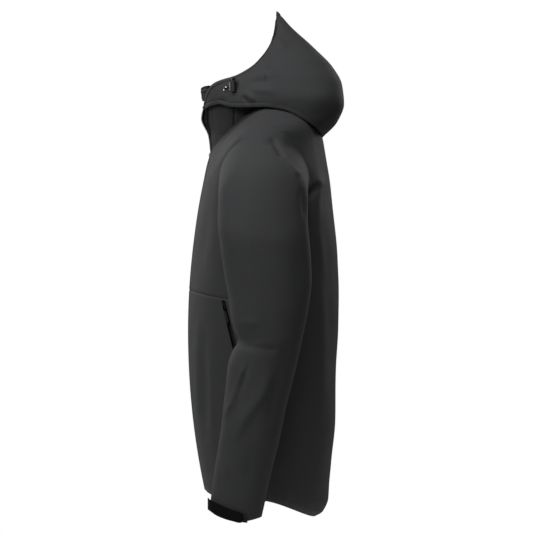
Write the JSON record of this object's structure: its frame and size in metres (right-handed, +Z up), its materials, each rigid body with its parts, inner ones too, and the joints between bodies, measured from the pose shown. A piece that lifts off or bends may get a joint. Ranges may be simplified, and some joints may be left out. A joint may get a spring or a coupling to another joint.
{
  "type": "hardshell jacket",
  "caption": "Hooded hardshell jacket with a full-length front zip, hand pockets, bent sleeves, cuff tabs and hood cord locks.",
  "frame": {"origin": "bearing point of the hanger loop, inside the back of the neck", "axes": "+Z up, the wearer faces -Y, the wearer's left arm is on +X"},
  "size_m": [0.654, 0.2992, 0.975],
  "materials": {
    "shell": "matte charcoal three-layer woven shell",
    "lining": "brushed dark tricot",
    "webbing": "fine black woven tape",
    "zip_tape": "coated black zip tape",
    "zip_coil": "black nylon coil",
    "hardware": "black lacquered zinc",
    "pull": "moulded black rubber",
    "nickel": "bright nickel plate",
    "lock_plastic": "moulded black acetal",
    "cord": "braided black elastic cord",
    "hook_loop": "black hook and loop tape"
  },
  "bodies": {
    "torso": {"back_panel": "shell", "left_front_upper_panel": "shell", "right_front_upper_panel": "shell", "left_front_lower_panel": "shell", "right_front_lower_panel": "shell", "hem_facing": "shell", "left_collar": "shell", "right_collar": "shell", "hood_neck_band": "shell", "storm_flap": "shell", "left_pocket_bag": "lining", "right_pocket_bag": "lining", "chin_guards": "lining", "hanger_loop": "webbing", "neck_tape": "webbing", "left_front_zip_tape": "zip_tape", "right_front_zip_tape": "zip_tape", "left_collar_zip_tape": "zip_tape", "right_collar_zip_tape": "zip_tape", "left_pocket_zip_tape": "zip_tape", "right_pocket_zip_tape": "zip_tape", "left_front_zip_coil": "zip_coil", "right_front_zip_coil": "zip_coil", "left_pocket_zip_coil": "zip_coil", "right_pocket_zip_coil": "zip_coil", "front_zip_box": "hardware", "front_zip_pin": "hardware"},
    "hood": {"left_hood_panel": "shell", "right_hood_panel": "shell", "hood_eyelets": "nickel", "cord_lock_plates": "nickel", "left_cord_lock_spring": "nickel", "right_cord_lock_spring": "nickel", "left_cord_lock_barrel": "lock_plastic", "right_cord_lock_barrel": "lock_plastic", "left_hood_cord": "cord", "right_hood_cord": "cord"},
    "front_zip_slider": {"front_zip_slider": "hardware"},
    "front_zip_pull": {"front_zip_pull": "pull"},
    "left_upper_sleeve": {"left_upper_sleeve": "shell"},
    "left_forearm": {"left_forearm_sleeve": "shell", "left_elbow_fabric": "shell", "left_cuff": "shell", "left_cuff_loop_strip": "hook_loop"},
    "left_cuff_tab": {"left_cuff_tab": "webbing", "left_cuff_hook_patch": "hook_loop"},
    "left_pocket_slider": {"left_pocket_zip_slider": "hardware"},
    "left_pocket_pull": {"left_pocket_zip_pull": "pull"},
    "left_lock_button": {"left_cord_lock_button": "lock_plastic"},
    "right_upper_sleeve": {"right_upper_sleeve": "shell"},
    "right_forearm": {"right_forearm_sleeve": "shell", "right_elbow_fabric": "shell", "right_cuff": "shell", "right_cuff_loop_strip": "hook_loop"},
    "right_cuff_tab": {"right_cuff_tab": "webbing", "right_cuff_hook_patch": "hook_loop"},
    "right_pocket_slider": {"right_pocket_zip_slider": "hardware"},
    "right_pocket_pull": {"right_pocket_zip_pull": "pull"},
    "right_lock_button": {"right_cord_lock_button": "lock_plastic"}
  },
  "joints": [
    {"name": "hood_raise", "type": "hinge", "parent": "torso", "child": "hood", "pos_m": [0, -0.16, 0.03], "axis": [1, 0, 0], "range_deg": [0, 32]},
    {"name": "front_zip_run", "type": "hinge", "parent": "torso", "child": "front_zip_slider", "pos_m": [0, 1.23, -0.43], "axis": [1, 0, 0], "range_deg": [0, 25.2]},
    {"name": "front_zip_pull_swing", "type": "hinge", "parent": "front_zip_slider", "child": "front_zip_pull", "pos_m": [0, -0.17564, -0.08359], "axis": [-1, 0, 0], "range_deg": [0, 160]},
    {"name": "left_shoulder_swing", "type": "hinge", "parent": "torso", "child": "left_upper_sleeve", "pos_m": [0.208, -0.07, -0.14], "axis": [-1, 0, 0], "range_deg": [-30, 80]},
    {"name": "left_elbow_bend", "type": "hinge", "parent": "left_upper_sleeve", "child": "left_forearm", "pos_m": [0.27, -0.06, -0.44], "axis": [-1, 0, 0], "range_deg": [-15, 60], "deforming": ["left_elbow_fabric"]},
    {"name": "left_cuff_tab_peel", "type": "hinge", "parent": "left_forearm", "child": "left_cuff_tab", "pos_m": [0.282, -0.17005, -0.737], "axis": [0, 0, -1], "range_deg": [0, 70]},
    {"name": "left_pocket_zip_run", "type": "slide", "parent": "torso", "child": "left_pocket_slider", "axis": [0.1285, 0.257, -0.9578], "range_m": [0, 0.145]},
    {"name": "left_pocket_pull_swing", "type": "hinge", "parent": "left_pocket_slider", "child": "left_pocket_pull", "pos_m": [0.17804, -0.1459, -0.37822], "axis": [-0.4912, -0.8225, -0.2866], "range_deg": [0, 160]},
    {"name": "left_cord_lock_press", "type": "slide", "parent": "hood", "child": "left_lock_button", "axis": [0, 0, -1], "range_m": [0, 0.003], "stiffness_N_per_m": 900, "springref_m": -0.0005, "deforming": ["left_cord_lock_spring"]},
    {"name": "right_shoulder_swing", "type": "hinge", "parent": "torso", "child": "right_upper_sleeve", "pos_m": [-0.208, -0.07, -0.14], "axis": [-1, 0, 0], "range_deg": [-30, 80]},
    {"name": "right_elbow_bend", "type": "hinge", "parent": "right_upper_sleeve", "child": "right_forearm", "pos_m": [-0.27, -0.06, -0.44], "axis": [-1, 0, 0], "range_deg": [-15, 60], "deforming": ["right_elbow_fabric"]},
    {"name": "right_cuff_tab_peel", "type": "hinge", "parent": "right_forearm", "child": "right_cuff_tab", "pos_m": [-0.282, -0.17005, -0.737], "axis": [0, 0, 1], "range_deg": [0, 70]},
    {"name": "right_pocket_zip_run", "type": "slide", "parent": "torso", "child": "right_pocket_slider", "axis": [-0.1285, 0.257, -0.9578], "range_m": [0, 0.145]},
    {"name": "right_pocket_pull_swing", "type": "hinge", "parent": "right_pocket_slider", "child": "right_pocket_pull", "pos_m": [-0.17804, -0.1459, -0.37822], "axis": [-0.4912, 0.8225, 0.2866], "range_deg": [0, 160]},
    {"name": "right_cord_lock_press", "type": "slide", "parent": "hood", "child": "right_lock_button", "axis": [0, 0, -1], "range_m": [0, 0.003], "stiffness_N_per_m": 900, "springref_m": -0.0005, "deforming": ["right_cord_lock_spring"]}
  ]
}
